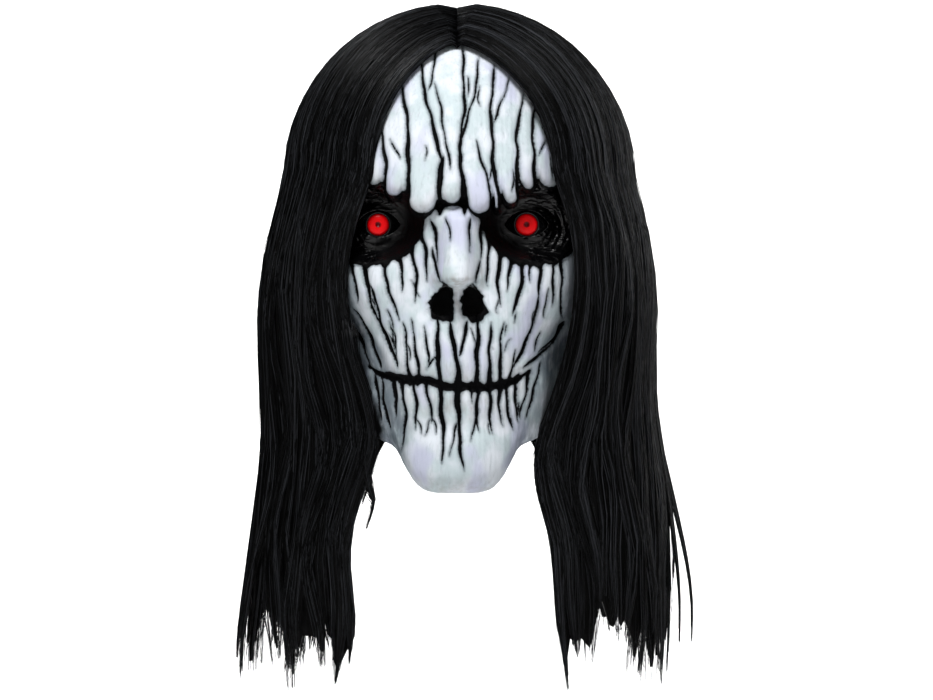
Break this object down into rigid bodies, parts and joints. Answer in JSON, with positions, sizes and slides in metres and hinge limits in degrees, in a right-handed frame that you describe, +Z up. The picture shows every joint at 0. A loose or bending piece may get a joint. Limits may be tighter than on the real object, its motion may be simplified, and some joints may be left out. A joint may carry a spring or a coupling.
{
  "type": "skull mask",
  "caption": "Pull-on skull mask of cast latex with furrowed bone face, black sockets, red eyes and long parted black hair; open below the jaw.",
  "frame": {"origin": "the highest point inside the shell, where the crown of the wearer's head touches it", "axes": "+Z up, the face looks along -Y, +X to the right of someone who looks at the face"},
  "size_m": [0.2535, 0.2243, 0.3878],
  "materials": {
    "cast_latex": "cast latex, painted bone white over black furrows, satin",
    "eyeball_gloss": "black, glossy",
    "iris_resin": "red resin, polished",
    "wig_fibre": "straight synthetic hair, soft sheen"
  },
  "bodies": {
    "root": {"mask_shell": "cast_latex", "eyeball_left": "eyeball_gloss", "eyeball_right": "eyeball_gloss", "iris_left": "iris_resin", "iris_right": "iris_resin", "hair_left": "wig_fibre", "hair_right": "wig_fibre"}
  },
  "joints": []
}
